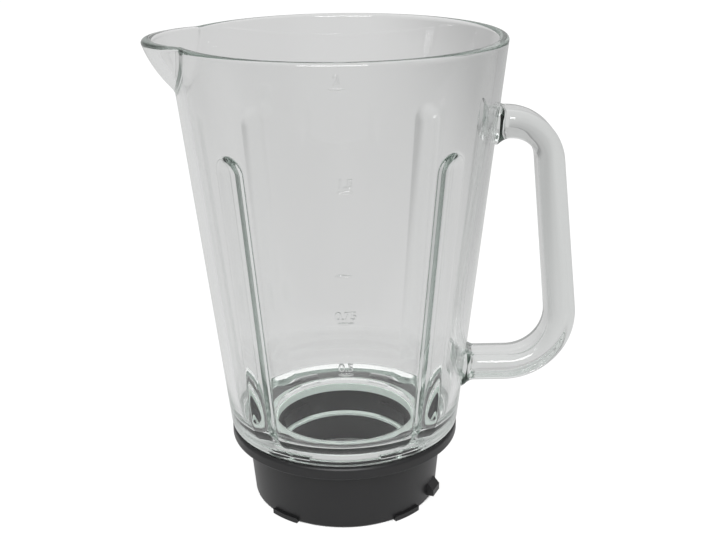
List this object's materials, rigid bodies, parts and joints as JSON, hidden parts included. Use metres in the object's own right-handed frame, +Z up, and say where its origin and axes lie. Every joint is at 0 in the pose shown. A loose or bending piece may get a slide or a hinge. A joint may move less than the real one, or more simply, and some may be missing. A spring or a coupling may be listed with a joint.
{
  "type": "blender jar",
  "caption": "Tapered clear glass blender jar with a pouring lip, a solid loop handle and inner ribs, on a dark plastic bayonet collar whose open well takes the cutter unit.",
  "frame": {"origin": "on the jug's axis, in the plane of the collar's open foot", "axes": "+Z up along the jug's axis, +X towards the handle, -X towards the pouring lip"},
  "size_m": [0.1942, 0.1476, 0.2203],
  "materials": {
    "glass": "clear, faint green, gloss",
    "collar_plastic": "satin dark grey",
    "pale_rubber": "matt pale grey"
  },
  "bodies": {
    "root": {"glass_jug": "glass", "base_collar": "collar_plastic", "jug_gasket": "pale_rubber", "cutter_seal": "pale_rubber"}
  },
  "joints": []
}
